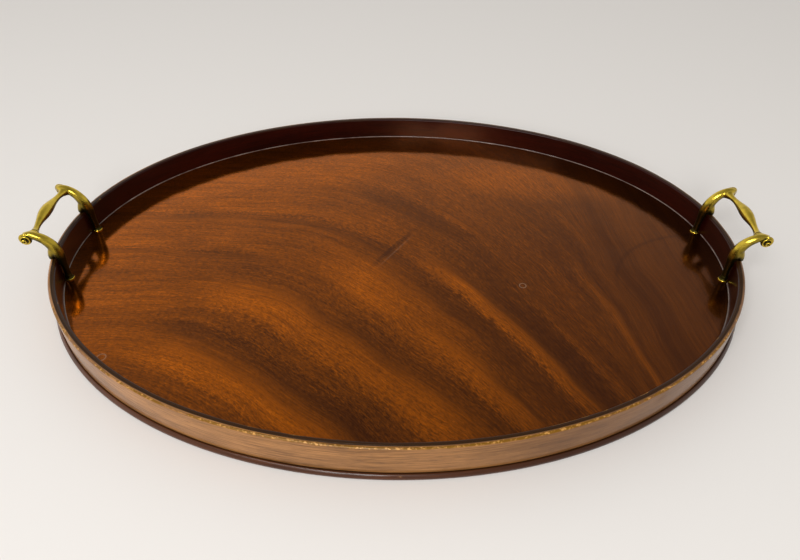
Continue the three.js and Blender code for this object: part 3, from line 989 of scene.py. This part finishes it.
def slot_cutter(bottom_z):
    """A box across the screw's head, centred on the lowest point of the head."""
    half_x, half_y, half_z = SLOT_HALF_SIZES
    corners = [(SCREW_AT[0] + x, SCREW_AT[1] + y, bottom_z + z)
               for x in (-half_x, half_x) for y in (-half_y, half_y) for z in (-half_z, half_z)]
    faces = [(0, 1, 3, 2), (4, 6, 7, 5), (0, 4, 5, 1), (2, 3, 7, 6), (0, 2, 6, 4), (1, 5, 7, 3)]
    return mesh_object("slot_cutter", corners, faces)


def screw_shape():
    """A slotted round-head screw, head down, with a pointed end."""
    bearing_z = UNDERSIDE_Z - WASHER_THICKNESS
    profile = [(radius, bearing_z + height) for radius, height in HEAD_PROFILE]
    profile += [(SCREW_RADIUS, bearing_z), (SCREW_RADIUS, SCREW_REACH_Z - 1.5), (0, SCREW_REACH_Z)]
    body = turned("screw_shape", profile, SCREW_AT, "z")
    cut(body, slot_cutter(profile[0][1]))
    shade(body.data, 30)
    return body


def washer_shape():
    low, high = UNDERSIDE_Z - WASHER_THICKNESS, UNDERSIDE_Z - 0.02
    section = [(1.8, low + 0.1), (1.9, low), (3.4, low), (3.6, low + 0.15), (3.6, high), (1.8, high)]
    verts = []
    for j in range(ROUND_SIDES):
        turn = 2 * math.pi * j / ROUND_SIDES
        verts += [(SCREW_AT[0] + radius * math.cos(turn), SCREW_AT[1] + radius * math.sin(turn), z)
                  for radius, z in section]
    washer = mesh_object("washer_shape", verts, skin_faces(ROUND_SIDES, len(section), True))
    face_outward(washer)
    return washer


arm = arm_shape()
grip = grip_shape()
screw = screw_shape()
washer = washer_shape()
for side, side_x in (("left", -1), ("right", 1)):
    node_name = f"grip_{side}"
    finished(in_quarter(node_name + "_cast", grip, side_x, 1, 0.03), BRASS, "cast_brass", node_name)
    for end, side_y in (("front", -1), ("rear", 1)):
        corner = f"{side}_{end}"
        for kind, shape, finish, slot, wobble in (
                ("arm", arm, BRASS, "cast_brass", 0.03),
                ("handle_screw", screw, SCREW_BRASS, "screw_brass", 0.0),
                ("screw_washer", washer, SCREW_BRASS, "screw_brass", 0.0)):
            node_name = f"{kind}_{corner}"
            copy = in_quarter(node_name + "_cast", shape, side_x, side_y, wobble)
            finished(copy, finish, slot, node_name)
discard(arm, grip, screw, washer)


# ---------------------------------------------------------------- stage

TABLE_REACH = 4000
# The camera's lens, its place in metres, and its pitch, yaw and roll in degrees.
LENS = 28.6486
CAMERA_AT = (-0.00630722, -0.46462753, 0.38470217)
CAMERA_ANGLES = (41.2708, -1.0230, 0.8220)


def table_top():
    material, tree = new_material("pale_table")
    surface(tree, {"Base Color": (0.80, 0.77, 0.74, 1), "Roughness": 0.8})
    far = TABLE_REACH
    corners = [(-far, -far, 0), (far, -far, 0), (far, far, 0), (-far, far, 0)]
    table = mesh_object("table", corners, [(0, 1, 2, 3)])
    table.data.materials.append(material)


def softbox(name, place, size, power):
    """A soft light aimed at the middle of the table. Its place and size are in metres."""
    light = bpy.data.lights.new(name, "AREA")
    light.shape = "RECTANGLE"
    light.size, light.size_y = size
    light.energy = power
    lamp = bpy.data.objects.new(name, light)
    lamp.location = place
    lamp.rotation_euler = (-Vector(place)).to_track_quat("-Z", "Y").to_euler()
    bpy.context.scene.collection.objects.link(lamp)


def room_light(strength):
    """Soft light from all round, brightest from the sweep low down and dimmer overhead and behind
    the camera, and a little brighter on the left."""
    world = bpy.data.worlds.new("room")
    world.use_nodes = True
    tree = world.node_tree
    x, y, z = split(tree, add(tree, "TexCoord").outputs["Generated"])
    height = ramp(tree, math_node(tree, "MAXIMUM", z, 0.0),
                  [(0.0, 1.0), (0.5, 0.92), (0.82, 0.48), (1.0, 0.42)])
    side = remapped(tree, x, -0.8, 0.8, 1.15, 0.75)
    behind = remapped(tree, y, -0.85, -0.15, 0.5, 1.0)
    background = tree.nodes["Background"]
    background.inputs["Color"].default_value = (1.0, 0.98, 0.95, 1)
    level = math_node(tree, "MULTIPLY", math_node(tree, "MULTIPLY", height, side), behind)
    tree.links.new(math_node(tree, "MULTIPLY", level, strength), background.inputs["Strength"])
    bpy.context.scene.world = world


def aim_camera():
    """The photograph's viewpoint: where the lens was, and how far it was tipped, turned and
    rolled."""
    camera = bpy.data.objects.new("camera", bpy.data.cameras.new("camera"))
    camera.data.sensor_width = 36.0
    camera.data.lens = LENS
    pitch, yaw, roll = (math.radians(angle) for angle in CAMERA_ANGLES)
    turn = Matrix.Rotation(yaw, 4, "Z") @ Matrix.Rotation(math.pi / 2 - pitch, 4, "X")
    camera.matrix_world = Matrix.Translation(CAMERA_AT) @ turn @ Matrix.Rotation(roll, 4, "Z")
    camera.data.clip_start = 0.01
    bpy.context.scene.collection.objects.link(camera)
    bpy.context.scene.camera = camera


table_top()
room_light(1.04)
softbox("key", (-0.96, -1.52, 1.75), (0.8, 0.8), 20)
softbox("window", (-0.36, -2.06, 1.18), (0.7, 0.6), 23)
aim_camera()
bpy.context.scene.view_settings.view_transform = "Standard"
